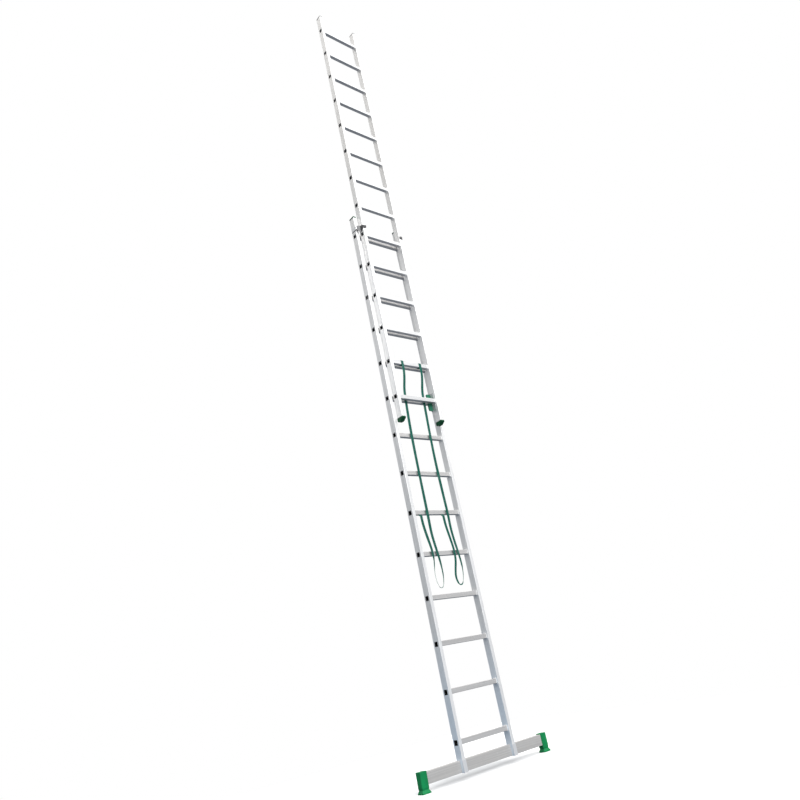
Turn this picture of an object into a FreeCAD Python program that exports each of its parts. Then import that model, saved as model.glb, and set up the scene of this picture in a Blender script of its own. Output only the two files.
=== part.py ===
import FreeCAD, Part
import math
import os
import Sketcher

# Two-section extension ladder, standing upright: X runs along the rungs, Z along
# the stiles, and the climbing side faces -Y. The soles rest on Z = 0. All sizes in mm.
SIZES = {
    "rung_pitch": 280.0,
    "rung_count": 14.0,
    "first_rung_height": 200.0,
    "rung_tall": 30.0,
    "rung_deep": 28.0,
    "rung_corner": 2.5,
    "rung_wall": 1.5,
    "rung_proud": 0.8,
    "collar_rim": 3.0,
    "collar_thick": 2.5,
    "stile_deep": 52.0,
    "stile_wide": 25.0,
    "stile_corner": 2.0,
    "stile_wall": 2.0,
    "base_wide": 460.0,
    "base_top": 4008.0,
    "fly_wide": 392.0,
    "fly_forward": 53.0,
    "fly_bottom_rung": 2436.0,
    "fly_top": 6236.0,
    "fly_bottom": 2261.0,
    "bar_low": 42.0,
    "bar_tall": 64.0,
    "bar_deep": 32.0,
    "bar_half": 544.0,
    "bar_wall": 2.5,
    "bar_corner": 2.0,
    "tongue_low": 44.0,
    "cap_tall": 11.0,
    "cap_rim": 1.2,
    "fly_cap_tall": 6.0,
    "plug_tall": 14.0,
    "plug_gap": 0.2,
    "bolt_radius": 4.0,
    "bolt_rise": 30.0,
    "rivet_radius": 2.4,
    "plate_thick": 2.5,
    "spine_thick": 2.0,
    "pin_radius": 2.5,
    "pin_clearance": 0.05,
    "hub_radius": 5.0,
    "hook_thick": 6.0,
    "hook_reach": 36.0,
    "hook_up": 58.0,
    "hook_down": 75.0,
    "hook_corner": 11.0,
    "mouth_start": 12.0,
    "mouth_up": 15.5,
    "mouth_down": 16.0,
    "hook_rung_height": 2440.0,
    "pin_across": 163.0,
    "pin_depth": 27.0,
    "webbing_wide": 22.0,
    "webbing_thick": 2.0,
    "webbing_gap": 0.4,
}

RUNG_COUNT = int(SIZES["rung_count"])
TAIL_LONG = 8.6
SIDES = (("left", -1.0), ("right", 1.0))

os.makedirs("parts", exist_ok=True)
doc = FreeCAD.newDocument("extension_ladder")
sheet = doc.addObject("Spreadsheet::Sheet", "Sizes")
for row, (alias, number) in enumerate(SIZES.items(), start=1):
    sheet.set("A%d" % row, alias)
    sheet.set("B%d" % row, str(number))
    sheet.setAlias("B%d" % row, alias)
doc.recompute()


class Size:
    """A length with its value and the sheet expression that drives it."""

    def __init__(self, value, text):
        self.value = float(value)
        self.text = text

    def __add__(self, other):
        other = as_size(other)
        return Size(self.value + other.value, "(%s + %s)" % (self.text, other.text))

    def __sub__(self, other):
        other = as_size(other)
        return Size(self.value - other.value, "(%s - %s)" % (self.text, other.text))

    def __mul__(self, factor):
        return Size(self.value * factor, "(%s * %r)" % (self.text, factor))

    def __truediv__(self, divisor):
        return Size(self.value / divisor, "(%s / %r)" % (self.text, divisor))

    def __neg__(self):
        return Size(-self.value, "(0 - %s)" % self.text)


def as_size(item):
    if isinstance(item, Size):
        return item
    return Size(item, "%r" % float(item))


def named(alias):
    return Size(SIZES[alias], "Sizes." + alias)


sub_parts = []


def keep(item, label):
    item.Label = label
    sub_parts.append(item)
    return item


def bind(item, prop, size):
    item.setExpression(prop, as_size(size).text)


def place(item, across=0.0, depth=0.0, height=0.0, turn=0.0):
    across, depth, height = as_size(across), as_size(depth), as_size(height)
    item.Placement = FreeCAD.Placement(
        FreeCAD.Vector(across.value, depth.value, height.value),
        FreeCAD.Rotation(FreeCAD.Vector(0, 0, 1), turn),
    )
    bind(item, ".Placement.Base.x", across)
    bind(item, ".Placement.Base.y", depth)
    bind(item, ".Placement.Base.z", height)


def new_body(label):
    return keep(doc.addObject("PartDesign::Body", label), label)


def sketch_on(body, role, name, offset=0.0):
    """A sketch on one of the body's own planes, moved along the plane's normal."""
    sketch = body.newObject("Sketcher::SketchObject", name)
    plane = [item for item in body.Origin.OriginFeatures if item.Role == role][0]
    sketch.AttachmentSupport = [(plane, "")]
    sketch.MapMode = "FlatFace"
    offset = as_size(offset)
    sketch.AttachmentOffset = FreeCAD.Placement(
        FreeCAD.Vector(0, 0, offset.value), FreeCAD.Rotation()
    )
    bind(sketch, ".AttachmentOffset.Base.z", offset)
    return sketch


def fix(sketch, kind, places, size):
    """Adds one driving dimension and ties it to the sheet."""
    size = as_size(size)
    index = sketch.addConstraint(Sketcher.Constraint(kind, *places, size.value))
    bind(sketch, "Constraints[%d]" % index, size)


def polygon(sketch, corners):
    """A closed outline whose every corner is dimensioned from the origin."""
    corners = [(as_size(across), as_size(up)) for across, up in corners]
    first = sketch.GeometryCount
    count = len(corners)
    points = [FreeCAD.Vector(across.value, up.value, 0) for across, up in corners]
    for step in range(count):
        sketch.addGeometry(Part.LineSegment(points[step], points[(step + 1) % count]))
    for step in range(count):
        following = first + (step + 1) % count
        sketch.addConstraint(Sketcher.Constraint("Coincident", first + step, 2, following, 1))
    for step, (across, up) in enumerate(corners):
        fix(sketch, "DistanceX", (-1, 1, first + step, 1), across)
        fix(sketch, "DistanceY", (-1, 1, first + step, 1), up)


def rectangle(sketch, left, right, low, high):
    polygon(sketch, [(left, low), (right, low), (right, high), (left, high)])


def rounded(sketch, wide, tall, radius):
    """A rounded rectangle centred on the origin."""
    wide, tall, radius = as_size(wide), as_size(tall), as_size(radius)
    first = sketch.GeometryCount
    x, y, r = wide.value / 2, tall.value / 2, radius.value
    vec = FreeCAD.Vector
    lines = [
        (vec(r - x, -y, 0), vec(x - r, -y, 0)),
        (vec(x, r - y, 0), vec(x, y - r, 0)),
        (vec(x - r, y, 0), vec(r - x, y, 0)),
        (vec(-x, y - r, 0), vec(-x, r - y, 0)),
    ]
    for start, end in lines:
        sketch.addGeometry(Part.LineSegment(start, end))
    centres = [(x - r, r - y, -90), (x - r, y - r, 0), (r - x, y - r, 90), (r - x, r - y, 180)]
    for centre_x, centre_y, angle in centres:
        circle = Part.Circle(vec(centre_x, centre_y, 0), vec(0, 0, 1), r)
        begin = math.radians(angle)
        sketch.addGeometry(Part.ArcOfCircle(circle, begin, begin + math.pi / 2))
    for step in range(4):
        line, arc = first + step, first + 4 + step
        following = first + (step + 1) % 4
        sketch.addConstraint(Sketcher.Constraint("Tangent", line, 2, arc, 1))
        sketch.addConstraint(Sketcher.Constraint("Tangent", arc, 2, following, 1))
    for step in (0, 2):
        sketch.addConstraint(Sketcher.Constraint("Horizontal", first + step))
        sketch.addConstraint(Sketcher.Constraint("Vertical", first + step + 1))
    for step in range(3):
        sketch.addConstraint(Sketcher.Constraint("Equal", first + 4 + step, first + 5 + step))
    fix(sketch, "Radius", (first + 4,), radius)
    fix(sketch, "DistanceX", (-1, 1, first + 1, 1), wide / 2)
    fix(sketch, "DistanceX", (first + 3, 1, -1, 1), wide / 2)
    fix(sketch, "DistanceY", (-1, 1, first + 2, 1), tall / 2)
    fix(sketch, "DistanceY", (first, 1, -1, 1), tall / 2)


def circle(sketch, across, up, radius):
    across, up, radius = as_size(across), as_size(up), as_size(radius)
    index = sketch.addGeometry(
        Part.Circle(FreeCAD.Vector(across.value, up.value, 0), FreeCAD.Vector(0, 0, 1), radius.value)
    )
    fix(sketch, "Radius", (index,), radius)
    fix(sketch, "DistanceX", (-1, 1, index, 3), across)
    fix(sketch, "DistanceY", (-1, 1, index, 3), up)


def pad(body, sketch, length, both_ways=False, reverse=False):
    feature = body.newObject("PartDesign::Pad", sketch.Name + "_pad")
    feature.Profile = sketch
    feature.Length = as_size(length).value
    bind(feature, "Length", length)
    feature.Midplane = both_ways
    feature.Reversed = reverse
    return feature


def pocket(body, sketch, length=None, both_ways=False, reverse=False):
    feature = body.newObject("PartDesign::Pocket", sketch.Name + "_pocket")
    feature.Profile = sketch
    feature.Midplane = both_ways
    feature.Reversed = reverse
    if length is None:
        feature.Type = "ThroughAll"
    else:
        feature.Length = as_size(length).value
        bind(feature, "Length", length)
    return feature


def edges_along(shape, direction, test):
    """Names of the straight edges along one direction whose middles pass a test."""
    names = []
    for index, edge in enumerate(shape.Edges, start=1):
        if edge.Curve.TypeId != "Part::GeomLine":
            continue
        if edge.Curve.Direction.cross(direction).Length > 1e-6:
            continue
        if test(edge.CenterOfMass):
            names.append("Edge%d" % index)
    return names


def fillet(body, feature, names, radius):
    rounding = body.newObject("PartDesign::Fillet", feature.Name + "_round")
    rounding.Base = (feature, names)
    rounding.Radius = as_size(radius).value
    bind(rounding, "Radius", radius)
    return rounding


def group(label, shapes, across=0.0, depth=0.0, height=0.0):
    """Separate identical solids kept together as one sub-part."""
    item = doc.addObject("Part::Feature", label)
    item.Shape = Part.makeCompound(shapes)
    place(item, across, depth, height)
    return keep(item, label)


X_AXIS = FreeCAD.Vector(1, 0, 0)
Y_AXIS = FreeCAD.Vector(0, 1, 0)
Z_AXIS = FreeCAD.Vector(0, 0, 1)

rung_pitch = named("rung_pitch")
first_rung = named("first_rung_height")
rung_tall = named("rung_tall")
rung_deep = named("rung_deep")
rung_corner = named("rung_corner")
stile_deep = named("stile_deep")
stile_wide = named("stile_wide")
stile_corner = named("stile_corner")
stile_wall = named("stile_wall")
bar_top = named("bar_low") + named("bar_tall")
bar_front = stile_deep / 2 - named("bar_deep")
rivet_radius = named("rivet_radius")

# Rivet places as (depth, height) from the rung that each bracket stands by.
GUIDE_RIVETS = ((12.0, 60.0), (-12.0, 60.0))
HOOK_RIVETS = ((-53.0, 50.0), (-53.0, 29.0), (-53.0, -36.0), (-53.0, -66.0))
GUIDE_RUNG = first_rung + rung_pitch * (RUNG_COUNT - 1)
HOOK_RUNG = named("hook_rung_height")
BOLT_HEIGHT = named("bar_low") + named("bolt_rise")


def rung_holes(body, first_height):
    sketch = sketch_on(body, "YZ_Plane", body.Name + "_rung_hole")
    sketch.AttachmentOffset = FreeCAD.Placement(
        FreeCAD.Vector(0, first_height.value, 0), FreeCAD.Rotation()
    )
    bind(sketch, ".AttachmentOffset.Base.y", first_height)
    rounded(sketch, rung_deep, rung_tall, rung_corner)
    cut = pocket(body, sketch, both_ways=True)
    rows = body.newObject("PartDesign::LinearPattern", body.Name + "_rung_holes")
    rows.Originals = [cut]
    rows.Direction = (sketch, ["V_Axis"])
    rows.Length = SIZES["rung_pitch"] * (RUNG_COUNT - 1)
    bind(rows, "Length", rung_pitch * (RUNG_COUNT - 1))
    rows.Occurrences = RUNG_COUNT
    body.Tip = rows


def hollow_profile(body, low, high):
    """The extruded box section from one height to another."""
    sketch = sketch_on(body, "XY_Plane", body.Name + "_section", low)
    rounded(sketch, stile_wide, stile_deep, stile_corner)
    rounded(sketch, stile_wide - stile_wall * 2, stile_deep - stile_wall * 2, stile_corner / 2)
    return pad(body, sketch, high - low)


def wall_holes(body, name, places, side):
    """Rivet holes through one side wall of a stile."""
    sketch = sketch_on(body, "YZ_Plane", body.Name + name, stile_wide / 2 * side)
    for depth, height in places:
        circle(sketch, depth, height, rivet_radius)
    return pocket(body, sketch, stile_wall * 2, reverse=side < 0)


def base_stile(name, side):
    body = new_body("base_stile_" + name)
    hollow_profile(body, bar_top, named("base_top"))
    # The front of the section runs on down over the stabiliser bar.
    sketch = sketch_on(body, "XY_Plane", body.Name + "_front", named("tongue_low"))
    rectangle(sketch, -stile_wide / 2, stile_wide / 2, -stile_deep / 2, bar_front)
    rectangle(
        sketch,
        stile_wall - stile_wide / 2,
        stile_wide / 2 - stile_wall,
        stile_wall - stile_deep / 2,
        bar_front - stile_wall,
    )
    pad(body, sketch, bar_top - named("tongue_low"))
    rung_holes(body, first_rung)
    places = [(depth, GUIDE_RUNG + height) for depth, height in GUIDE_RIVETS]
    wall_holes(body, "_guide_holes", places, side)
    sketch = sketch_on(body, "XZ_Plane", body.Name + "_bolt_hole")
    circle(sketch, 0.0, BOLT_HEIGHT, named("bolt_radius"))
    body.Tip = pocket(body, sketch, both_ways=True)
    place(body, (named("base_wide") - stile_wide) / 2 * side)
    return body


def fly_stile(name, side):
    body = new_body("fly_stile_" + name)
    hollow_profile(body, named("fly_bottom"), named("fly_top"))
    rung_holes(body, named("fly_bottom_rung"))
    places = [(named("fly_forward") + depth, HOOK_RUNG + height) for depth, height in HOOK_RIVETS]
    body.Tip = wall_holes(body, "_hook_holes", places, -side)
    place(body, (named("fly_wide") - stile_wide) / 2 * side, -named("fly_forward"))
    return body


def rung(label, overall, depth, height):
    """A hollow rung with swaged collars against the stiles' inner faces."""
    body = new_body(label)
    sketch = sketch_on(body, "YZ_Plane", label + "_section")
    wall = named("rung_wall")
    rounded(sketch, rung_deep, rung_tall, rung_corner)
    rounded(sketch, rung_deep - wall * 2, rung_tall - wall * 2, rung_corner - wall)
    pad(body, sketch, overall + named("rung_proud") * 2, both_ways=True)
    rim = named("collar_rim") * 2
    inner_face = overall / 2 - stile_wide
    sketch = sketch_on(body, "YZ_Plane", label + "_collar", inner_face)
    rounded(sketch, rung_deep + rim, rung_tall + rim, rung_corner + named("collar_rim"))
    rounded(sketch, rung_deep, rung_tall, rung_corner)
    collar = pad(body, sketch, named("collar_thick"), reverse=True)
    mirror = body.newObject("PartDesign::Mirrored", label + "_collars")
    mirror.Originals = [collar]
    plane = [item for item in body.Origin.OriginFeatures if item.Role == "YZ_Plane"][0]
    mirror.MirrorPlane = (plane, [""])
    body.Tip = mirror
    place(body, 0.0, depth, height)
    return body


def top_cap(label, cap_tall, across, depth, height):
    """A moulded end cap with a plug down the stile's hollow."""
    body = new_body(label)
    rim = named("cap_rim") * 2
    sketch = sketch_on(body, "XY_Plane", label + "_head")
    rounded(sketch, stile_wide + rim, stile_deep + rim, stile_corner + named("cap_rim"))
    head = pad(body, sketch, cap_tall)
    doc.recompute()
    top_edges = []
    for index, edge in enumerate(head.Shape.Edges, start=1):
        if abs(edge.BoundBox.ZMin - cap_tall.value) < 1e-6:
            top_edges.append("Edge%d" % index)
    fillet(body, head, top_edges, 2.0)
    inset = (stile_wall + named("plug_gap")) * 2
    sketch = sketch_on(body, "XY_Plane", label + "_plug")
    rounded(sketch, stile_wide - inset, stile_deep - inset, stile_corner / 2)
    body.Tip = pad(body, sketch, named("plug_tall"), reverse=True)
    place(body, across, depth, height)
    return body


def fly_foot(name, side):
    """A slip-on foot with a sloped toe and a pocket for the stile's end."""
    body = new_body("fly_foot_" + name)
    back, front, low, high = 28.0, -33.0, -16.0, 13.0
    toe_long, toe_tall, heel = 28.0, 19.0, 6.0
    wide = 33.0
    sketch = sketch_on(body, "YZ_Plane", body.Name + "_side")
    polygon(
        sketch,
        [(back, low + heel), (back - heel, low), (front + toe_long, low),
         (front, low + toe_tall), (front, high), (back, high)],
    )
    block = pad(body, sketch, wide, both_ways=True)
    doc.recompute()
    names = edges_along(block.Shape, Z_AXIS, lambda point: True)
    fillet(body, block, names, 3.0)
    sketch = sketch_on(body, "XY_Plane", body.Name + "_socket", high)
    rounded(sketch, stile_wide, stile_deep, stile_corner)
    body.Tip = pocket(body, sketch, high)
    place(
        body,
        (named("fly_wide") - stile_wide) / 2 * side,
        -named("fly_forward"),
        named("fly_bottom"),
    )
    return body


def stabiliser_bar():
    body = new_body("stabiliser_bar")
    wall = named("bar_wall")
    sketch = sketch_on(body, "YZ_Plane", "bar_section")
    rounded(sketch, named("bar_deep"), named("bar_tall"), named("bar_corner"))
    rounded(
        sketch,
        named("bar_deep") - wall * 2,
        named("bar_tall") - wall * 2,
        named("bar_corner") / 2,
    )
    pad(body, sketch, named("bar_half") * 2, both_ways=True)
    # One shallow extrusion line along the front, just above the lower edge.
    line_deep, line_low, line_high = 0.8, 7.0, 9.0
    sketch = sketch_on(body, "YZ_Plane", "bar_line")
    front = -named("bar_deep") / 2
    low = -named("bar_tall") / 2
    rectangle(sketch, front - line_deep, front + line_deep, low + line_low, low + line_high)
    pocket(body, sketch, named("bar_half") * 2, both_ways=True)
    sketch = sketch_on(body, "XZ_Plane", "bar_bolt_holes")
    across = (named("base_wide") - stile_wide) / 2
    rise = BOLT_HEIGHT - named("bar_low") - named("bar_tall") / 2
    for side in (-1.0, 1.0):
        circle(sketch, across * side, rise, named("bolt_radius"))
    body.Tip = pocket(body, sketch, both_ways=True)
    depth = stile_deep / 2 - named("bar_deep") / 2
    place(body, 0.0, depth, named("bar_low") + named("bar_tall") / 2)
    return body


def stabiliser_foot(name, side):
    """A moulded boot: a sleeve round the bar's end over a waisted, flared sole."""
    body = new_body("stabiliser_foot_" + name)
    sleeve_wall, corner = 4.0, 4.0
    inner, outer = 495.0, 547.0
    middle = (inner + outer) / 2
    half_wide, half_deep = (outer - inner) / 2, SIZES["bar_deep"] / 2 + sleeve_wall
    top = SIZES["bar_low"] + SIZES["bar_tall"] + sleeve_wall + 1.0
    sleeve_low, waist_high, waist_in = 30.0, 20.0, 2.0
    sole_out, sole_thick = 5.0, 6.0
    centre_depth = stile_deep / 2 - named("bar_deep") / 2
    sketch = sketch_on(body, "XY_Plane", body.Name + "_sleeve", sleeve_low)
    rounded(sketch, half_wide * 2, half_deep * 2, corner)
    pad(body, sketch, top - sleeve_low)
    layers = (
        (sleeve_low, 0.0),
        (waist_high, -waist_in),
        (sole_thick, sole_out),
        (0.0, sole_out),
    )
    for step in range(len(layers) - 1):
        high, high_out = layers[step]
        low, low_out = layers[step + 1]
        upper = sketch_on(body, "XY_Plane", "%s_upper_%d" % (body.Name, step), high)
        rounded(upper, (half_wide + high_out) * 2, (half_deep + high_out) * 2, corner)
        lower = sketch_on(body, "XY_Plane", "%s_lower_%d" % (body.Name, step), low)
        rounded(lower, (half_wide + low_out) * 2, (half_deep + low_out) * 2, corner)
        loft = body.newObject("PartDesign::AdditiveLoft", "%s_flare_%d" % (body.Name, step))
        loft.Profile = upper
        loft.Sections = [lower]
        loft.Ruled = True
    # The bar's end slides into the sleeve from the inner side.
    bar_high = SIZES["bar_low"] + SIZES["bar_tall"]
    reach = SIZES["bar_half"] - middle
    sketch = sketch_on(body, "YZ_Plane", body.Name + "_socket")
    sketch.AttachmentOffset = FreeCAD.Placement(
        FreeCAD.Vector(0, bar_high - SIZES["bar_tall"] / 2, reach * side), FreeCAD.Rotation()
    )
    bind(sketch, ".AttachmentOffset.Base.y", named("bar_low") + named("bar_tall") / 2)
    bind(sketch, ".AttachmentOffset.Base.z", (named("bar_half") - middle) * side)
    rounded(sketch, named("bar_deep"), named("bar_tall"), named("bar_corner"))
    body.Tip = pocket(body, sketch, reach + half_wide * 2, reverse=side < 0)
    place(body, middle * side, centre_depth, 0.0)
    return body


def bar_clip(name, side):
    """A saddle: a channel over the stile's foot whose strap runs under and behind the bar."""
    body = new_body("bar_clip_" + name)
    thick, half_wide, front_high, back_high = 2.0, 10.0, 54.0, 84.0
    front, back = -stile_deep / 2, stile_deep / 2
    low = named("bar_low")
    inner = stile_wide / 2
    outer = inner + thick
    sketch = sketch_on(body, "XY_Plane", body.Name + "_channel", low - thick)
    polygon(
        sketch,
        [(-outer, bar_front), (-outer, front - thick), (outer, front - thick), (outer, bar_front),
         (inner, bar_front), (inner, front), (-inner, front), (-inner, bar_front)],
    )
    pad(body, sketch, bar_top - low + thick)
    sketch = sketch_on(body, "YZ_Plane", body.Name + "_strap")
    polygon(
        sketch,
        [(front - thick, low - thick), (back + thick, low - thick), (back + thick, back_high),
         (back, back_high), (back, low), (front, low), (front, front_high),
         (front - thick, front_high)],
    )
    pad(body, sketch, half_wide * 2, both_ways=True)
    sketch = sketch_on(body, "XZ_Plane", body.Name + "_bolt_hole", -back)
    circle(sketch, 0.0, BOLT_HEIGHT, named("bolt_radius"))
    body.Tip = pocket(body, sketch, thick * 4, both_ways=True)
    place(body, (named("base_wide") - stile_wide) / 2 * side)
    return body


def bar_bolts():
    """Hexagon bolts through the clip, the bar and the front of each stile."""
    head_across, head_tall = 13.0, 5.3
    radius = SIZES["bolt_radius"]
    head_back = SIZES["stile_deep"] / 2 + 2.0
    height = BOLT_HEIGHT.value
    shapes = []
    for side in (-1.0, 1.0):
        across = (SIZES["base_wide"] - SIZES["stile_wide"]) / 2 * side
        corners = []
        for step in range(7):
            angle = math.radians(60.0 * step)
            reach = head_across / math.sqrt(3.0)
            corners.append(FreeCAD.Vector(
                across + reach * math.cos(angle), head_back, height + reach * math.sin(angle)))
        head = Part.Face(Part.makePolygon(corners)).extrude(Y_AXIS * head_tall)
        start = FreeCAD.Vector(across, -SIZES["stile_deep"] / 2, height)
        shank = Part.makeCylinder(radius, head_back + SIZES["stile_deep"] / 2, start, Y_AXIS)
        shapes.append(head.fuse(shank).removeSplitter())
    return group("bar_bolts", shapes)


def rivet(base, direction, grip):
    """A dome-head rivet whose head sits on a plate and whose shank fills the hole."""
    radius = SIZES["rivet_radius"]
    head_radius, head_tall = radius * 1.9, radius * 0.8
    sphere_radius = (head_radius ** 2 + head_tall ** 2) / (2.0 * head_tall)
    arc_top = FreeCAD.Vector(0, 0, head_tall)
    angle = math.asin(head_radius / sphere_radius) / 2.0
    arc_middle = FreeCAD.Vector(
        sphere_radius * math.sin(angle), 0, head_tall - sphere_radius * (1 - math.cos(angle)))
    rim = FreeCAD.Vector(head_radius, 0, 0)
    neck = FreeCAD.Vector(radius, 0, 0)
    foot = FreeCAD.Vector(radius, 0, -grip)
    end = FreeCAD.Vector(0, 0, -grip)
    edges = [
        Part.Arc(arc_top, arc_middle, rim).toShape(),
        Part.makeLine(rim, neck),
        Part.makeLine(neck, foot),
        Part.makeLine(foot, end),
        Part.makeLine(end, arc_top),
    ]
    solid = Part.Face(Part.Wire(edges)).revolve(FreeCAD.Vector(), Z_AXIS, 360.0)
    turn = FreeCAD.Rotation(Z_AXIS, direction)
    solid.Placement = FreeCAD.Placement(base, turn)
    return solid


def guide_rivets():
    outer = SIZES["base_wide"] / 2 + SIZES["plate_thick"]
    grip = SIZES["plate_thick"] + SIZES["stile_wall"]
    shapes = []
    for side in (-1.0, 1.0):
        for depth, height in GUIDE_RIVETS:
            base = FreeCAD.Vector(outer * side, depth, GUIDE_RUNG.value + height)
            shapes.append(rivet(base, X_AXIS * side, grip))
    return group("guide_rivets", shapes)


def hook_rivets():
    inner = SIZES["fly_wide"] / 2 - SIZES["stile_wide"] - SIZES["spine_thick"]
    grip = SIZES["spine_thick"] + SIZES["stile_wall"]
    shapes = []
    for side in (-1.0, 1.0):
        for depth, height in HOOK_RIVETS:
            base = FreeCAD.Vector(inner * side, depth, HOOK_RUNG.value + height)
            shapes.append(rivet(base, X_AXIS * -side, grip))
    return group("hook_rivets", shapes)


def guide_bracket(name, side):
    """A bent plate riveted to the base stile that wraps round the fly stile."""
    body = new_body("guide_bracket_" + name)
    thick = SIZES["plate_thick"]
    inner, outer = SIZES["base_wide"] / 2, SIZES["base_wide"] / 2 + thick
    gap = 2.0
    fly_face = SIZES["fly_wide"] / 2 + gap
    lip_face = -(SIZES["fly_forward"] + SIZES["stile_deep"] / 2 + gap)
    lip_tip, curl = 177.0, 6.0
    top, bottom = 80.0, 12.0
    outline = [
        (inner, 21.0), (outer, 21.0), (outer, -36.0), (fly_face + thick, -50.0),
        (fly_face + thick, lip_face - thick), (lip_tip, lip_face - thick),
        (lip_tip - 3.0, lip_face - thick - curl), (lip_tip - 5.2, lip_face - thick - curl + 1.2),
        (lip_tip - 1.7, lip_face), (fly_face, lip_face), (fly_face, -48.5), (inner, -34.3),
    ]
    sketch = sketch_on(body, "XY_Plane", body.Name + "_bend", bottom)
    polygon(sketch, [(across * side, depth) for across, depth in outline])
    pad(body, sketch, top - bottom)
    doc.recompute()
    # The upper and lower edges slope so that the lip is the narrowest part.
    far = 40.0
    upper = [(far, 78.0), (-44.0, 78.0), (-94.0, 64.0), (-94.0, top + 5), (far, top + 5)]
    lower = [(far, 43.0), (-37.0, 43.0), (-47.0, 16.0), (-56.0, 27.0), (-70.0, 38.0),
             (-94.0, 47.0), (-94.0, bottom - 5), (far, bottom - 5)]
    for suffix, corners in (("_upper_edge", upper), ("_lower_edge", lower)):
        sketch = sketch_on(body, "YZ_Plane", body.Name + suffix)
        polygon(sketch, corners)
        pocket(body, sketch, both_ways=True)
    places = sketch_on(body, "YZ_Plane", body.Name + "_holes", inner * side)
    for depth, height in GUIDE_RIVETS:
        circle(places, depth, height, rivet_radius)
    body.Tip = pocket(body, places, thick * 4, both_ways=True)
    place(body, 0.0, 0.0, GUIDE_RUNG)
    return body


def hook_bracket(name, side):
    """The hook's hinge plate: a spine on the stile with an ear above and below."""
    body = new_body("hook_bracket_" + name)
    stile_face = named("fly_wide") / 2 - stile_wide
    thick = named("spine_thick")
    outline = [
        (-20.0, -78.0), (-20.0, 61.0), (-62.0, 61.0), (-62.0, 19.0), (-35.5, 19.0),
        (-35.5, -27.0), (-62.0, -27.0), (-62.0, -78.0),
    ]
    sketch = sketch_on(body, "YZ_Plane", body.Name + "_spine", stile_face * side)
    polygon(sketch, outline)
    pad(body, sketch, thick, reverse=side > 0)
    ear_thick, ear_front, ear_back, ear_reach = 2.0, -34.0, -20.0, 15.0
    for suffix, low in (("_top_ear", 59.0), ("_low_ear", -78.0)):
        sketch = sketch_on(body, "XY_Plane", body.Name + suffix, low)
        inner = (stile_face - ear_reach) * side
        outer = stile_face * side
        if side > 0:
            rectangle(sketch, inner, outer, ear_front, ear_back)
        else:
            rectangle(sketch, outer, inner, ear_front, ear_back)
        circle(sketch, named("pin_across") * side, -named("pin_depth"), named("pin_radius"))
        pad(body, sketch, ear_thick)
    places = sketch_on(body, "YZ_Plane", body.Name + "_holes", stile_face * side)
    for depth, height in HOOK_RIVETS:
        circle(places, depth, height, rivet_radius)
    body.Tip = pocket(body, places, thick * 4, both_ways=True)
    place(body, 0.0, 0.0, HOOK_RUNG)
    return body


def hook(name, side):
    """A swinging lock plate; its mouth takes the base rung when it points back."""
    body = new_body("hook_" + name)
    reach, up, down = named("hook_reach"), named("hook_up"), named("hook_down")
    start, mouth_up, mouth_down = named("mouth_start"), named("mouth_up"), named("mouth_down")
    hub_overlap = 3.5
    sketch = sketch_on(body, "XZ_Plane", body.Name + "_plate")
    outline = [
        (hub_overlap, -down), (reach, -down), (reach, -mouth_down), (start, -mouth_down),
        (start, mouth_up), (reach, mouth_up), (reach, up), (hub_overlap, up),
    ]
    polygon(sketch, outline)
    plate = pad(body, sketch, named("hook_thick"), both_ways=True)
    doc.recompute()
    far = reach.value - 1.0
    tall = down.value - 1.0, up.value - 1.0
    tips = edges_along(
        plate.Shape, Y_AXIS, lambda point: point.x > far and (point.z < -tall[0] or point.z > tall[1])
    )
    fillet(body, plate, tips, named("hook_corner"))
    sketch = sketch_on(body, "XY_Plane", body.Name + "_hub", -down)
    circle(sketch, 0.0, 0.0, named("hub_radius"))
    pad(body, sketch, up + down)
    sketch = sketch_on(body, "XY_Plane", body.Name + "_bore", -down - 1.0)
    circle(sketch, 0.0, 0.0, named("pin_radius") + named("pin_clearance"))
    body.Tip = pocket(body, sketch, both_ways=True)
    turn = 180.0 if side > 0 else 0.0
    place(body, named("pin_across") * side, -named("pin_depth"), HOOK_RUNG, turn)
    return body


def hook_pins():
    """Headed pins through each hook bracket's ears and the hook's hub."""
    radius = SIZES["pin_radius"]
    head_radius, head_tall = 4.2, 1.8
    low, high = -78.0, 61.0
    shapes = []
    for side in (-1.0, 1.0):
        foot = FreeCAD.Vector(SIZES["pin_across"] * side, -SIZES["pin_depth"],
                              HOOK_RUNG.value + low - head_tall)
        pin = Part.makeCylinder(radius, high - low + head_tall * 2, foot)
        top = foot + Z_AXIS * (high - low + head_tall)
        for end in (foot, top):
            pin = pin.fuse(Part.makeCylinder(head_radius, head_tall, end))
        shapes.append(pin.removeSplitter())
    return group("hook_pins", shapes)


def strap_eye(label, across, depth, height):
    """A sewn eye of webbing round a rung, with a short tail below its front."""
    body = new_body(label)
    gap, thick = named("webbing_gap"), named("webbing_thick")
    sketch = sketch_on(body, "YZ_Plane", label + "_eye")
    inner_deep = rung_deep + gap * 2
    inner_tall = rung_tall + gap * 2
    rounded(sketch, inner_deep + thick * 2, inner_tall + thick * 2, rung_corner + thick)
    rounded(sketch, inner_deep, inner_tall, rung_corner)
    pad(body, sketch, named("webbing_wide"), both_ways=True)
    sketch = sketch_on(body, "YZ_Plane", label + "_tail")
    front = -inner_deep / 2
    rectangle(sketch, front - thick, front, -inner_tall / 2 - thick - TAIL_LONG, 0.0)
    body.Tip = pad(body, sketch, named("webbing_wide"), both_ways=True)
    place(body, across, depth, height)
    return body


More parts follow.
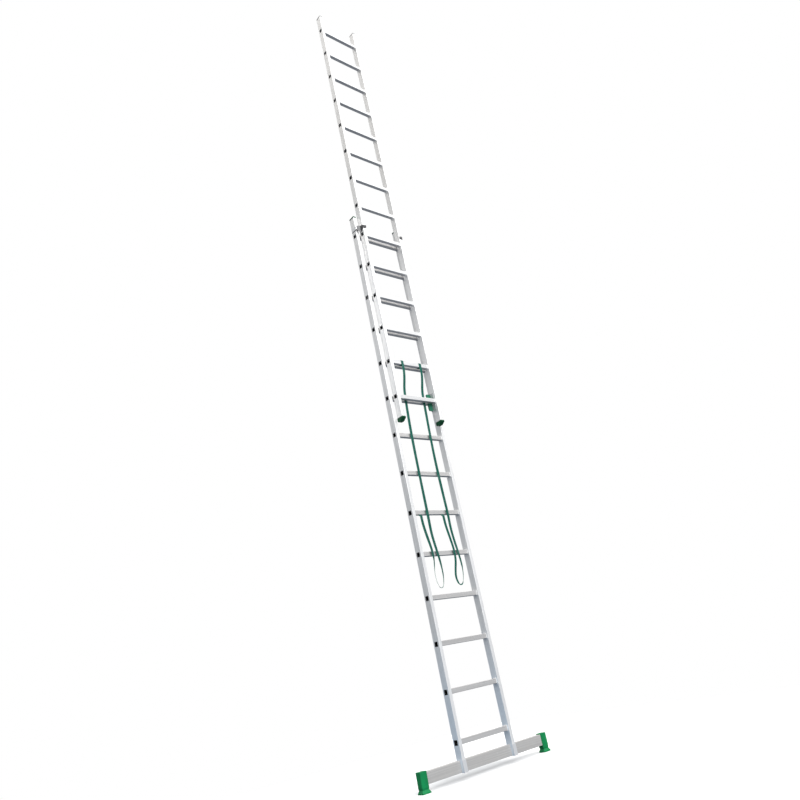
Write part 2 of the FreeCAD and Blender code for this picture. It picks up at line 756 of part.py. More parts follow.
def strap_tab(label, across, depth, height):
    """The strap's other end, folded back under a rung and fixed to its underside."""
    body = new_body(label)
    gap, thick = named("webbing_gap"), named("webbing_thick")
    front = -rung_deep / 2 - gap
    under = -rung_tall / 2 - gap
    tail_end = under - thick - TAIL_LONG
    fold_end = -2.0
    sketch = sketch_on(body, "YZ_Plane", label + "_fold")
    polygon(
        sketch,
        [(front - thick, tail_end), (front, tail_end), (front, under - thick),
         (fold_end, under - thick), (fold_end, under), (front - thick, under)],
    )
    body.Tip = pad(body, sketch, named("webbing_wide"), both_ways=True)
    place(body, across, depth, height)
    return body


def rounded_route(points):
    """Straight runs joined by tangent arcs at every inner point."""
    points = [FreeCAD.Vector(*point) for point in points]
    edges = []
    radii = []
    last = points[0]
    for before, corner, after in zip(points, points[1:], points[2:]):
        run_in, run_out = corner - before, after - corner
        trim = 0.45 * min(run_in.Length, run_out.Length)
        turn = run_in.getAngle(run_out)
        radii.append(trim / math.tan(turn / 2))
        toward = FreeCAD.Vector(run_in).normalize()
        away = FreeCAD.Vector(run_out).normalize()
        arc_start = corner - toward * trim
        arc_end = corner + away * trim
        inward = FreeCAD.Vector(away - toward).normalize()
        sagitta = radii[-1] * (1.0 / math.cos(turn / 2) - 1.0)
        arc_middle = corner + inward * sagitta
        edges.append(Part.LineSegment(last, arc_start).toShape())
        edges.append(Part.Arc(arc_start, arc_middle, arc_end).toShape())
        last = arc_end
    edges.append(Part.LineSegment(last, points[-1]).toShape())
    return Part.Wire(edges), radii


def strap(label, route):
    """A hanging strap as a plain tube as thick as the webbing is wide."""
    radius = SIZES["webbing_wide"] / 2
    path, radii = rounded_route(route)
    start = FreeCAD.Vector(*route[0])
    along = (FreeCAD.Vector(*route[1]) - start).normalize()
    ring = Part.Wire(Part.makeCircle(radius, start, along))
    item = doc.addObject("Part::Feature", label)
    tube = path.makePipeShell([ring], True, True)
    item.Shape = tube
    keep(item, label)
    expected = math.pi * radius ** 2 * path.Length
    print("%s: length %.0f mm, smallest bend radius %.1f mm, volume ratio %.4f"
          % (label, path.Length, min(radii), tube.Volume / expected))
    return item


# --- The base section ---------------------------------------------------------
for name, side in SIDES:
    base_stile(name, side)
for step in range(RUNG_COUNT):
    rung("base_rung_%02d" % (step + 1), named("base_wide"), 0.0, first_rung + rung_pitch * step)
for name, side in SIDES:
    across = (named("base_wide") - stile_wide) / 2 * side
    top_cap("base_top_cap_" + name, named("cap_tall"), across, 0.0, named("base_top"))
    guide_bracket(name, side)
    stabiliser_foot(name, side)
    bar_clip(name, side)
stabiliser_bar()
bar_bolts()
guide_rivets()

# --- The fly section ----------------------------------------------------------
fly_depth = -named("fly_forward")
fly_first = named("fly_bottom_rung")
for name, side in SIDES:
    fly_stile(name, side)
for step in range(RUNG_COUNT):
    rung("fly_rung_%02d" % (step + 1), named("fly_wide"), fly_depth, fly_first + rung_pitch * step)
for name, side in SIDES:
    across = (named("fly_wide") - stile_wide) / 2 * side
    top_cap("fly_top_cap_" + name, named("fly_cap_tall"), across, fly_depth, named("fly_top"))
    fly_foot(name, side)
    hook_bracket(name, side)
    hook(name, side)
hook_pins()
hook_rivets()

# --- The webbing straps -------------------------------------------------------
UPPER_RUNG = fly_first + rung_pitch
LOWER_RUNG = first_rung + rung_pitch * 5
LEFT_ROUTE = (
    (-77, -69, 2690), (-77, -69, 2645), (-78, -55, 2585), (-78, -32, 2520), (-79, -26, 2455),
    (-89, -26.5, 2320), (-96, -26.5, 2160),
    (-99, -26.5, 1950), (-100, -26.5, 1720), (-100, -26.5, 1570), (-103, -26.5, 1460),
    (-93, -26.5, 1375), (-80, -26.5, 1295), (-73, -26.5, 1215), (-77, -26.5, 1145),
    (-96, -26.5, 1094), (-128, -26.5, 1094), (-145, -26.5, 1145), (-143, -26.5, 1205),
    (-126, -26.5, 1275), (-128, -26.5, 1345), (-144, -26.5, 1420), (-158, -26, 1500),
    (-160, -25, 1545), (-160, -25, 1574),
)
RIGHT_ROUTE = (
    (95, -69, 2690), (95, -69, 2645), (94, -55, 2585), (95, -32, 2520), (96, -26, 2455),
    (89, -26.5, 2320), (82, -26.5, 2160),
    (77, -26.5, 1960), (82, -26.5, 1730), (87, -26.5, 1580), (83, -26.5, 1480),
    (93, -26.5, 1385), (107, -26.5, 1300), (114, -26.5, 1220), (104, -26.5, 1150),
    (82, -26.5, 1103), (50, -26.5, 1103), (33, -26.5, 1148), (44, -26.5, 1200),
    (66, -26.5, 1262), (72, -26.5, 1330), (59, -26.5, 1410), (45, -26, 1490),
    (42, -25, 1543), (42, -25, 1574),
)
for name, route in (("left", LEFT_ROUTE), ("right", RIGHT_ROUTE)):
    strap_eye("strap_eye_" + name, route[0][0], fly_depth, UPPER_RUNG)
    strap_tab("strap_tab_" + name, route[-1][0], 0.0, LOWER_RUNG)
    strap("strap_" + name, route)

doc.recompute()

for item in doc.Objects:
    if "Invalid" in item.State or "Error" in item.State:
        raise RuntimeError("feature %s failed: %s" % (item.Label, item.State))
for item in sub_parts:
    if item.Shape.isNull() or not item.Shape.isValid():
        raise RuntimeError("sub-part %s has no valid shape" % item.Label)
    item.Shape.exportStep(os.path.join("parts", item.Label + ".step"))
print("%d sub-parts written" % len(sub_parts))
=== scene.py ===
import math
import bpy
from mathutils import Matrix, Vector


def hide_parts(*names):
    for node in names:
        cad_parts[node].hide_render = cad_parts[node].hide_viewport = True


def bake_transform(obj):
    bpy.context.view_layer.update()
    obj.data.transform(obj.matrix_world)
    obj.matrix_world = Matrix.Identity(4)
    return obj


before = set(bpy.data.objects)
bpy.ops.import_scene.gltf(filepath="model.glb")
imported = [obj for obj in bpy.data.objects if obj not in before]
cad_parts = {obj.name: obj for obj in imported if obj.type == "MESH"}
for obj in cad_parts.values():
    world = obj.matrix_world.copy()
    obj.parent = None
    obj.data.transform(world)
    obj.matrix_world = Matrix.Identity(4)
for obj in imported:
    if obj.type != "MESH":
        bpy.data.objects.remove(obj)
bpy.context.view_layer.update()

MM = 0.001

# The rungs: their pitch, half the size of their hollow, and how far in from their ends
# the collars reach.
RUNG_PITCH = 0.28
HOLLOW_HALF_DEPTH = 0.01275
HOLLOW_HALF_HEIGHT = 0.01375
COLLAR_REACH = 0.0285
# Each section's rungs: depth (Y) of their middle line, and height of the lowest one.
BASE_FIRST_RUNG = (0.0, 0.200)
FLY_FIRST_RUNG = (-0.053, 2.436)
BASE_RUNG_HALF = 0.2301
FLY_RUNG_HALF = 0.1961
# The guide brackets: height of their lower hem, and how far out from the middle plane the painted shade
# on their inner parts reaches.
GUIDE_HEM = 3.8865
BRACKET_SHADE_REACH = 0.2285

# Colours of the metal pieces, with the painted light and shade on them.
STILE = (0.87, 0.865, 0.86)
# Painted light on the side faces: a cool tint low down, and a darker, warmer painted shade high up.
COOL_SIDE_LIGHT = (0.78, 0.86, 0.94)
WARM_SIDE_SHADE = (0.72, 0.70, 0.675)
BASE_RUNG = (0.585, 0.57, 0.56)
FLY_RUNG = (0.68, 0.68, 0.68)
# Painted shade on the rungs' downward faces.
RUNG_UNDERSIDE_SHADE = (0.45, 0.445, 0.455)
COLLAR = (0.90, 0.90, 0.90)
# Painted shade: black for the inside and open ends of the rung tubes.
HOLLOW_SHADE_BLACK = (0.006, 0.006, 0.006)
SCRATCH = (0.9, 0.9, 0.9)
BAR = (0.60, 0.58, 0.56)
CLIP = (0.78, 0.78, 0.785)
ZINC = (0.55, 0.56, 0.58)
RIVET = (0.7, 0.7, 0.71)
GUIDE_STEEL = (0.80, 0.80, 0.80)
HOOK_STEEL = (0.62, 0.62, 0.63)
# Painted shade on the guide brackets' inner parts, and a painted shadow below their lower hem.
BRACKET_SHADE_GREY = (0.055, 0.055, 0.057)
# Colours of the mouldings and the webbing.
FOOT_GREEN = (0.003, 0.225, 0.069)
CAP_GREEN = (0.002, 0.070, 0.026)
CAP_GREY = (0.035, 0.037, 0.037)
HOOK_GREEN = (0.015, 0.15, 0.085)
GREEN_WEB = (0.003, 0.105, 0.075)
# Painted highlight along the straps' edges.
EDGE_HIGHLIGHT_GREEN = (0.04, 0.22, 0.15)

scene = bpy.context.scene
scene.view_settings.view_transform = "Standard"

# --- Camera --------------------------------------------------------------------
VIEW_FROM = (-3.2352, -3.4048, 0.6038)
VIEW_RIGHT = (0.77223547, -0.60677481, -0.18835261)
VIEW_UP = (-0.09511908, -0.40353726, 0.91000552)
VIEW_BACK = (-0.62817572, -0.68482261, -0.36934165)
camera_data = bpy.data.cameras.new("camera")
camera_data.sensor_width = 36.0
camera_data.lens = 30.991
camera_data.clip_end = 200.0
camera = bpy.data.objects.new("camera", camera_data)
scene.collection.objects.link(camera)
axes = Matrix((VIEW_RIGHT, VIEW_UP, VIEW_BACK)).transposed().to_4x4()
camera.matrix_world = Matrix.Translation(VIEW_FROM) @ axes
scene.camera = camera


# --- Material helpers ------------------------------------------------------------
def scaled(colour, factor, lift=0.0):
    """A colour made darker or lighter, then lifted towards grey, and kept at 1 or less."""
    return tuple(min(1.0, part * factor + lift) for part in colour)


class Nodes:
    """A small layer over a material's node tree."""

    def __init__(self, name):
        self.material = bpy.data.materials.new(name)
        self.material.use_nodes = True
        self.tree = self.material.node_tree
        self.shader = self.tree.nodes["Principled BSDF"]

    def add(self, kind, **settings):
        node = self.tree.nodes.new(kind)
        for key, value in settings.items():
            setattr(node, key, value)
        return node

    def join(self, source, target):
        self.tree.links.new(source, target)

    def feed(self, socket, value):
        if isinstance(value, (int, float, tuple)):
            socket.default_value = value
        else:
            self.join(value, socket)

    def maths(self, operation, *values):
        node = self.add("ShaderNodeMath", operation=operation)
        for socket, value in zip(node.inputs, values):
            self.feed(socket, value)
        return node.outputs[0]

    def place(self, scale=(1.0, 1.0, 1.0)):
        """The object's own coordinates, scaled."""
        mapping = self.add("ShaderNodeMapping")
        mapping.inputs["Scale"].default_value = scale
        self.join(self.add("ShaderNodeTexCoord").outputs["Object"], mapping.inputs["Vector"])
        return mapping.outputs[0]

    def split(self, source):
        """The outputs X, Y and Z of a vector."""
        parts = self.add("ShaderNodeSeparateXYZ")
        self.join(source, parts.inputs[0])
        return parts.outputs

    def position(self, kind="Object"):
        return self.split(self.add("ShaderNodeTexCoord").outputs[kind])

    def facing(self):
        return self.split(self.add("ShaderNodeNewGeometry").outputs["Normal"])

    def noise(self, vector, scale=1.0, detail=2.0, roughness=0.5):
        node = self.add("ShaderNodeTexNoise")
        node.inputs["Scale"].default_value = scale
        node.inputs["Detail"].default_value = detail
        node.inputs["Roughness"].default_value = roughness
        self.join(vector, node.inputs["Vector"])
        return node.outputs["Fac"]

    def spread(self, value, low, high, to_low, to_high):
        node = self.add("ShaderNodeMapRange")
        node.clamp = True
        for socket, item in zip(node.inputs, (value, low, high, to_low, to_high)):
            self.feed(socket, item)
        return node.outputs[0]

    def blend_colour(self, factor, first, second):
        node = self.add("ShaderNodeMix", data_type="RGBA")
        self.feed(node.inputs["Factor"], factor)
        for socket, colour in ((node.inputs["A"], first), (node.inputs["B"], second)):
            self.feed(socket, (*colour, 1.0) if isinstance(colour, tuple) else colour)
        return node.outputs["Result"]

    def bump(self, height, strength, distance, below=None):
        node = self.add("ShaderNodeBump")
        node.inputs["Strength"].default_value = strength
        node.inputs["Distance"].default_value = distance
        self.join(height, node.inputs["Height"])
        if below is not None:
            self.join(below, node.inputs["Normal"])
        return node.outputs[0]

    def finish(self, colour, roughness, normal, metallic=0.0, **shader):
        self.join(colour, self.shader.inputs["Base Color"])
        self.join(roughness, self.shader.inputs["Roughness"])
        self.join(normal, self.shader.inputs["Normal"])
        self.feed(self.shader.inputs["Metallic"], metallic)
        for key, value in shader.items():
            self.shader.inputs[key].default_value = value
        return self.material


def painted_side_light(nodes, tone):
    """Painted light on an extrusion's side faces: a cool painted light near the floor, and a warmer,
    darker painted shade high up.
    """
    height = nodes.position()["Z"]
    sideways = nodes.maths("ABSOLUTE", nodes.facing()["X"])
    sides = nodes.spread(sideways, 0.6, 0.9, 0.0, 1.0)
    # Painted cool light on the lower side faces, painted shade on the upper ones.
    cool = nodes.maths("MULTIPLY", sides, nodes.spread(height, 0.3, 0.9, 1.0, 0.0))
    warm = nodes.maths("MULTIPLY", sides, nodes.spread(height, 3.4, 4.6, 0.0, 1.0))
    tone = nodes.blend_colour(cool, tone, COOL_SIDE_LIGHT)
    return nodes.blend_colour(warm, tone, WARM_SIDE_SHADE)


def rung_hollow(nodes, spot, first_rung, rung_half):
    """1 inside a rung's hollow and on its open ends, where black is painted as shade, and 0 on the rest
    of it.
    """
    depth, height = first_rung
    across = nodes.maths("ABSOLUTE", nodes.maths("SUBTRACT", spot["Y"], depth))
    turns = nodes.maths("DIVIDE", nodes.maths("SUBTRACT", spot["Z"], height), RUNG_PITCH)
    nearest = nodes.maths("SUBTRACT", turns, nodes.maths("ROUND", turns))
    tall = nodes.maths("MULTIPLY", nodes.maths("ABSOLUTE", nearest), RUNG_PITCH)
    within = nodes.maths(
        "MULTIPLY",
        nodes.maths("LESS_THAN", across, HOLLOW_HALF_DEPTH),
        nodes.maths("LESS_THAN", tall, HOLLOW_HALF_HEIGHT),
    )
    ends = nodes.maths("GREATER_THAN", nodes.maths("ABSOLUTE", spot["X"]), rung_half)
    return nodes.maths("MAXIMUM", within, ends)


def aluminium(name, colour, lines_along, first_rung=None, rung_half=None):
    """Extruded aluminium: fine drawn lines and handling marks, and on pieces other than rungs painted
    light and shade on the side faces.

    With first_rung and rung_half it is a rung, with its hollow and open ends painted black as painted
    shade, bright collars, painted shade on its underside and a fluted tread.
    """
    nodes = Nodes(name)
    metallic = 0.45
    lines_fine, lines_slow = 1500.0, 5.0
    bands_fine, bands_slow = 180.0, 1.5
    flute_pitch = 0.0035
    lines_scale = tuple(lines_slow if axis == lines_along else lines_fine for axis in "XYZ")
    lines = nodes.noise(nodes.place(lines_scale), 1.0, 2.0, 0.6)
    bands_scale = tuple(bands_slow if axis == lines_along else bands_fine for axis in "XYZ")
    bands = nodes.noise(nodes.place(bands_scale), 1.0, 1.0)
    dull = nodes.spread(nodes.noise(nodes.place(), 9.0, 6.0, 0.62), 0.48, 0.72, 0.0, 1.0)
    scratch = nodes.spread(nodes.noise(nodes.place(), 70.0, 4.0, 0.7), 0.62, 0.72, 0.0, 1.0)
    evenness = nodes.spread(bands, 0.35, 0.65, 0.0, 1.0)
    tone = nodes.blend_colour(evenness, scaled(colour, 0.90), scaled(colour, 1.03))
    tone = nodes.blend_colour(nodes.maths("MULTIPLY", dull, 0.35), tone, scaled(colour, 0.86))
    tone = nodes.blend_colour(nodes.maths("MULTIPLY", scratch, 0.25), tone, SCRATCH)
    gloss = nodes.spread(lines, 0.3, 0.7, 0.30, 0.50)
    gloss = nodes.maths("ADD", gloss, nodes.maths("MULTIPLY", dull, 0.10))
    relief = nodes.bump(lines, 0.12, 0.00006)
    relief = nodes.bump(bands, 0.12, 0.00012, relief)
    if first_rung is None:
        return nodes.finish(painted_side_light(nodes, tone), gloss, relief, metallic)

    spot = nodes.position()
    upward = nodes.facing()["Z"]
    hollow = rung_hollow(nodes, spot, first_rung, rung_half)
    solid = nodes.maths("SUBTRACT", 1.0, hollow)
    # Painted shade: the hollow and open ends are painted black for the dark inside of the tube.
    tone = nodes.blend_colour(hollow, tone, HOLLOW_SHADE_BLACK)
    gloss = nodes.maths("MAXIMUM", gloss, nodes.maths("MULTIPLY", hollow, 0.9))
    metal = nodes.maths("MULTIPLY", solid, metallic)
    # Painted shade: faces turned downward are painted darker.
    under = nodes.spread(upward, -0.9, -0.6, 1.0, 0.0)
    tone = nodes.blend_colour(nodes.maths("MULTIPLY", under, 0.85), tone, RUNG_UNDERSIDE_SHADE)
    beside = nodes.maths(
        "GREATER_THAN", nodes.maths("ABSOLUTE", spot["X"]), rung_half - COLLAR_REACH)
    tone = nodes.blend_colour(nodes.maths("MULTIPLY", beside, solid), tone, COLLAR)
    flutes = nodes.maths("SINE", nodes.maths("MULTIPLY", spot["Y"], 2.0 * math.pi / flute_pitch))
    tread = nodes.spread(upward, 0.85, 0.95, 0.0, 1.0)
    relief = nodes.bump(nodes.maths("MULTIPLY", flutes, tread), 0.6, 0.0006, relief)
    return nodes.finish(tone, gloss, relief, metal)


def moulded(name, colour, grain=900.0, specular=0.25):
    """Injection-moulded plastic or rubber: spark-eroded grain, flow shading and dusty scuffs."""
    nodes = Nodes(name)
    texture = nodes.noise(nodes.place(), grain, 3.0, 0.6)
    flow = nodes.noise(nodes.place((1.0, 1.0, 0.5)), 22.0, 3.0)
    dust = nodes.noise(nodes.place(), 60.0, 6.0, 0.7)
    scuffed = nodes.spread(dust, 0.58, 0.74, 0.0, 0.5)
    tone = nodes.blend_colour(nodes.spread(flow, 0.35, 0.65, 0.0, 1.0), scaled(colour, 0.72), colour)
    tone = nodes.blend_colour(scuffed, tone, scaled(colour, 0.85, 0.03))
    gloss = nodes.spread(texture, 0.3, 0.7, 0.38, 0.58)
    gloss = nodes.maths("ADD", gloss, nodes.maths("MULTIPLY", scuffed, 0.2))
    relief = nodes.bump(texture, 0.25, 0.00015)
    relief = nodes.bump(flow, 0.10, 0.0008, relief)
    return nodes.finish(tone, gloss, relief, **{"Specular IOR Level": specular})


def plated(name, colour, metallic, roughness, dark_within=None):
    """Plated sheet steel or turned hardware with a mottled finish and rubbed spots.

    dark_within is how far out from the middle plane the inner parts are painted dark grey, a painted
    shade. Below the guide brackets' lower hem the same dark grey is a painted edge shadow.
    """
    nodes = Nodes(name)
    mottle = nodes.noise(nodes.place(), 160.0, 5.0, 0.65)
    grain = nodes.noise(nodes.place(), 1300.0, 2.0)
    rubbed = nodes.spread(nodes.noise(nodes.place(), 38.0, 5.0, 0.7), 0.60, 0.75, 0.0, 1.0)
    patches = nodes.spread(mottle, 0.35, 0.65, 0.0, 1.0)
    tone = nodes.blend_colour(patches, scaled(colour, 0.75), colour)
    tone = nodes.blend_colour(nodes.maths("MULTIPLY", rubbed, 0.5), tone, scaled(colour, 1.6, 0.05))
    # Painted shade: dark grey on the inner parts, and a painted shadow line below the lower hem.
    if dark_within is not None:
        spot = nodes.position()
        inner = nodes.maths("LESS_THAN", nodes.maths("ABSOLUTE", spot["X"]), dark_within)
        hem = nodes.maths("LESS_THAN", spot["Z"], GUIDE_HEM)
        tone = nodes.blend_colour(nodes.maths("MAXIMUM", inner, hem), tone, BRACKET_SHADE_GREY)
    gloss = nodes.spread(mottle, 0.3, 0.7, *roughness)
    relief = nodes.bump(grain, 0.2, 0.0001)
    relief = nodes.bump(mottle, 0.15, 0.0003, relief)
    return nodes.finish(tone, gloss, relief, metallic)


def webbing(name, coordinates, run_axis, selvedge):
    """Woven strap: a herringbone of raised ribs with painted shade in the grooves, and a painted
    highlight along the selvedge at each side.

    coordinates is the texture coordinate that the weave is laid out on, in metres. Its
    run_axis goes along the strap and its X axis across it. selvedge is how far out from
    the strap's middle the edge is.
    """
    nodes = Nodes(name)
    rib_pitch, cord_pitch = 0.0030, 0.0055
    spot = nodes.position(coordinates)
    run, side = spot[run_axis], spot["X"]
    slant = nodes.maths("PINGPONG", side, cord_pitch)
    turns_along = nodes.maths("MULTIPLY", run, 2 * math.pi / rib_pitch)
    turns_across = nodes.maths("MULTIPLY", slant, 2 * math.pi / rib_pitch)
    ribs = nodes.maths("SINE", nodes.maths("ADD", turns_along, turns_across))
    cords = nodes.maths("SINE", nodes.maths("MULTIPLY", side, 2 * math.pi / cord_pitch))
    height = nodes.maths("ADD", nodes.maths("MULTIPLY", ribs, 0.6), nodes.maths("MULTIPLY", cords, 0.4))
    fuzz = nodes.noise(nodes.place(), 2500.0, 2.0)
    stain = nodes.spread(nodes.noise(nodes.place(), 25.0, 4.0), 0.45, 0.7, 0.0, 0.6)
    rim = nodes.spread(nodes.maths("ABSOLUTE", side), selvedge * 0.86, selvedge * 0.97, 0.0, 1.0)
    # Painted shade: the weave's grooves between the raised ribs are painted darker.
    raised = nodes.spread(height, -0.8, 0.8, 0.0, 1.0)
    tone = nodes.blend_colour(raised, scaled(GREEN_WEB, 0.55), GREEN_WEB)
    tone = nodes.blend_colour(stain, tone, scaled(GREEN_WEB, 0.85, 0.03))
    # Painted highlight along the selvedge at each side.
    tone = nodes.blend_colour(nodes.maths("MULTIPLY", rim, 0.75), tone, EDGE_HIGHLIGHT_GREEN)
    relief = nodes.bump(height, 0.55, 0.0004)
    relief = nodes.bump(fuzz, 0.2, 0.0001, relief)
    sheen = {"Sheen Weight": 0.08, "Sheen Roughness": 0.5, "Specular IOR Level": 0.15}
    return nodes.finish(tone, nodes.spread(fuzz, 0.3, 0.7, 0.55, 0.8), relief, **sheen)


# --- Straps ----------------------------------------------------------------------
# Each route runs from the eye on the fly section, down round the loop and up to the tab.
LEFT_ROUTE = (
    (-77, -69, 2690), (-77, -69, 2645), (-78, -55, 2585), (-78, -32, 2520), (-79, -26, 2455),
    (-89, -26.5, 2320), (-96, -26.5, 2160),
    (-99, -26.5, 1950), (-100, -26.5, 1720), (-100, -26.5, 1570), (-103, -26.5, 1460),
    (-93, -26.5, 1375), (-80, -26.5, 1295), (-73, -26.5, 1215), (-77, -26.5, 1145),
    (-96, -26.5, 1094), (-128, -26.5, 1094), (-145, -26.5, 1145), (-143, -26.5, 1205),
    (-126, -26.5, 1275), (-128, -26.5, 1345), (-144, -26.5, 1420), (-158, -26, 1500),
    (-160, -25, 1545), (-160, -25, 1574),
)
RIGHT_ROUTE = (
    (95, -69, 2690), (95, -69, 2645), (94, -55, 2585), (95, -32, 2520), (96, -26, 2455),
    (89, -26.5, 2320), (82, -26.5, 2160),
    (77, -26.5, 1960), (82, -26.5, 1730), (87, -26.5, 1580), (83, -26.5, 1480),
    (93, -26.5, 1385), (107, -26.5, 1300), (114, -26.5, 1220), (104, -26.5, 1150),
    (82, -26.5, 1103), (50, -26.5, 1103), (33, -26.5, 1148), (44, -26.5, 1200),
    (66, -26.5, 1262), (72, -26.5, 1330), (59, -26.5, 1410), (45, -26, 1490),
    (42, -25, 1543), (42, -25, 1574),
)
# Each strap's twist: how far along it, from 0 to 1, and the turn there in degrees.
LEFT_TWISTS = (
    (0.0, 0), (0.10, 4), (0.24, 9), (0.40, 2), (0.52, 8), (0.62, -2), (0.66, -8), (0.71, -28),
    (0.74, -42), (0.753, -52), (0.759, -68), (0.765, -98), (0.771, -124), (0.778, -132),
    (0.82, -134), (0.85, -146), (0.88, -172), (0.94, -182), (1.0, -180),
)
RIGHT_TWISTS = (
    (0.0, 0), (0.12, 8), (0.26, 1), (0.40, 9), (0.52, 2), (0.62, -4), (0.66, -10), (0.69, -18),
    (0.72, -37), (0.745, -46), (0.753, -58), (0.759, -80), (0.766, -116), (0.772, -144),
    (0.78, -162), (0.80, -168), (0.88, -172), (1.0, -180),
)
STRAP_HALF_WIDE = 0.011
STRAP_HALF_THICK = 0.0009
EDGE_INSET = 0.0006
# Half of the strap's cross-section, from edge to edge: parts of its half width and thickness.
FACE_PROFILE = ((-1, -1), (-0.6, -0.75), (0, -0.7), (0.6, -0.75), (1, -1))


def route_line(name, route):
    """Points along a smooth spline whose control points are the strap's route."""
    curve = bpy.data.curves.new(name, "CURVE")
    curve.dimensions = "3D"
    curve.resolution_u = 10
    spline = curve.splines.new("NURBS")
    spline.points.add(len(route) - 1)
    for point, spot in zip(spline.points, route):
        point.co = (spot[0] * MM, spot[1] * MM, spot[2] * MM, 1.0)
    spline.order_u = 3
    spline.use_endpoint_u = True
    holder = bpy.data.objects.new(name, curve)
    scene.collection.objects.link(holder)
    bpy.context.view_layer.update()
    seen = holder.evaluated_get(bpy.context.evaluated_depsgraph_get())
    mesh = bpy.data.meshes.new_from_object(seen)
    line = [vertex.co.copy() for vertex in mesh.vertices]
    bpy.data.objects.remove(holder)
    bpy.data.meshes.remove(mesh)
    return line


def turn_at(table, distance):
    """The strap's twist in degrees, eased between the listed stations."""
    for (start, first), (end, second) in zip(table, table[1:]):
        if distance <= end:
            part = (distance - start) / (end - start)
            part = part * part * (3.0 - 2.0 * part)
            return first + (second - first) * max(0.0, part)
    return table[-1][1]


def strap_profile():
    """The strap's cross-section: thinner in the middle, with a bevelled selvedge at each side."""
    face = []
    for x, y in FACE_PROFILE:
        inset = EDGE_INSET if abs(x) == 1 else 0.0
        face.append((x * (STRAP_HALF_WIDE - inset), y * STRAP_HALF_THICK))
    back = [(x, -y) for x, y in reversed(face)]
    return [*face, (STRAP_HALF_WIDE, 0.0), *back, (-STRAP_HALF_WIDE, 0.0)]


def ribbon(name, line, twists):
    """A flat woven strap swept along a line, turning about it as it goes."""
    lengths = [0.0]
    for before, after in zip(line, line[1:]):
        lengths.append(lengths[-1] + (after - before).length)
    total = lengths[-1]
    profile = strap_profile()
    count = len(profile)
    vertices, faces, coordinates = [], [], []
    for step, spot in enumerate(line):
        before = line[max(step - 1, 0)]
        after = line[min(step + 1, len(line) - 1)]
        along = (after - before).normalized()
        level = Vector((0.0, -1.0, 0.0)).cross(along).normalized()
        turn = math.radians(turn_at(twists, lengths[step] / total))
        wide = Matrix.Rotation(turn, 3, along) @ level
        thick = along.cross(wide)
        for x, y in profile:
            vertices.append(spot + wide * x + thick * y)
            coordinates.append((x, lengths[step]))
    for step in range(len(line) - 1):
        low, high = step * count, (step + 1) * count
        for side in range(count):
            following = (side + 1) % count
            faces.append((low + side, low + following, high + following, high + side))
    last = (len(line) - 1) * count
    faces.append(tuple(reversed(range(count))))
    faces.append(tuple(last + side for side in range(count)))
    mesh = bpy.data.meshes.new(name)
    mesh.from_pydata(vertices, [], faces)
    layer = mesh.uv_layers.new(name="woven")
    for loop in mesh.loops:
        layer.data[loop.index].uv = coordinates[loop.vertex_index]
    for polygon in mesh.polygons:
        polygon.use_smooth = True
    mesh.validate()
    strap = bpy.data.objects.new(name, mesh)
    scene.collection.objects.link(strap)
    return strap, total


strap_web = webbing("strap_webbing", "UV", "Y", STRAP_HALF_WIDE)
# The eyes and tabs are too far from the middle plane for the painted edge highlight, so it is out of
# reach.
eye_web = webbing("eye_webbing", "Object", "Z", 10.0)
for side, route, twists in (("left", LEFT_ROUTE, LEFT_TWISTS), ("right", RIGHT_ROUTE, RIGHT_TWISTS)):
    line = route_line("strap_line_" + side, route)
    strap, length = ribbon("webbing_strap_" + side, line, twists)
    strap.data.materials.append(strap_web)
    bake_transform(strap)
    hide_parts("strap_" + side)

# --- Finishes for the CAD pieces -----------------------------------------------------
FINISHES = (
    (("base_stile", "fly_stile"), aluminium("stile_aluminium", STILE, "Z")),
    (("base_rung",), aluminium("base_rung_aluminium", BASE_RUNG, "X", BASE_FIRST_RUNG, BASE_RUNG_HALF)),
    (("fly_rung",), aluminium("fly_rung_aluminium", FLY_RUNG, "X", FLY_FIRST_RUNG, FLY_RUNG_HALF)),
    (("stabiliser_bar",), aluminium("bar_aluminium", BAR, "X")),
    (("bar_clip",), aluminium("clip_aluminium", CLIP, "Z")),
    (("bar_bolts", "hook_pins"), plated("zinc_hardware", ZINC, 0.9, (0.25, 0.42))),
    (("guide_rivets", "hook_rivets"), plated("rivet_aluminium", RIVET, 0.8, (0.3, 0.45))),
    (("guide_bracket",), plated("guide_steel", GUIDE_STEEL, 0.35, (0.35, 0.5), BRACKET_SHADE_REACH)),
    (("hook_bracket",), plated("hook_plate_steel", HOOK_STEEL, 0.4, (0.35, 0.5))),
    (("stabiliser_foot",), moulded("foot_green", FOOT_GREEN)),
    (("base_top_cap", "fly_foot"), moulded("cap_dark_green", CAP_GREEN, specular=0.15)),
    (("fly_top_cap",), moulded("cap_grey", CAP_GREY)),
    (("hook_left", "hook_right"), moulded("hook_green", HOOK_GREEN, grain=1200.0)),
    (("strap_eye", "strap_tab"), eye_web),
)
for node_name, node_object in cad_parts.items():
    for starts, finish in FINISHES:
        if node_name.startswith(starts):
            node_object.data.materials.clear()
            node_object.data.materials.append(finish)
            break

# --- Floor ---------------------------------------------------------------------------
FLOOR_HALF = 2.4
FLOOR_PALE = ((0.92, 0.92, 0.92), (0.94, 0.94, 0.94))
FLOOR_SHADE = (0.56, 0.565, 0.575)
floor_data = bpy.data.meshes.new("floor")
corners = [(x * FLOOR_HALF, y * FLOOR_HALF, 0) for x, y in ((-1, -1), (1, -1), (1, 1), (-1, 1))]
floor_data.from_pydata(corners, [], [(0, 1, 2, 3)])
floor = bpy.data.objects.new("floor", floor_data)
scene.collection.objects.link(floor)
nodes = Nodes("studio_floor")
speckle = nodes.noise(nodes.place(), 40.0, 4.0)
floor_tone = nodes.blend_colour(nodes.spread(speckle, 0.3, 0.7, 0.0, 1.0), *FLOOR_PALE)
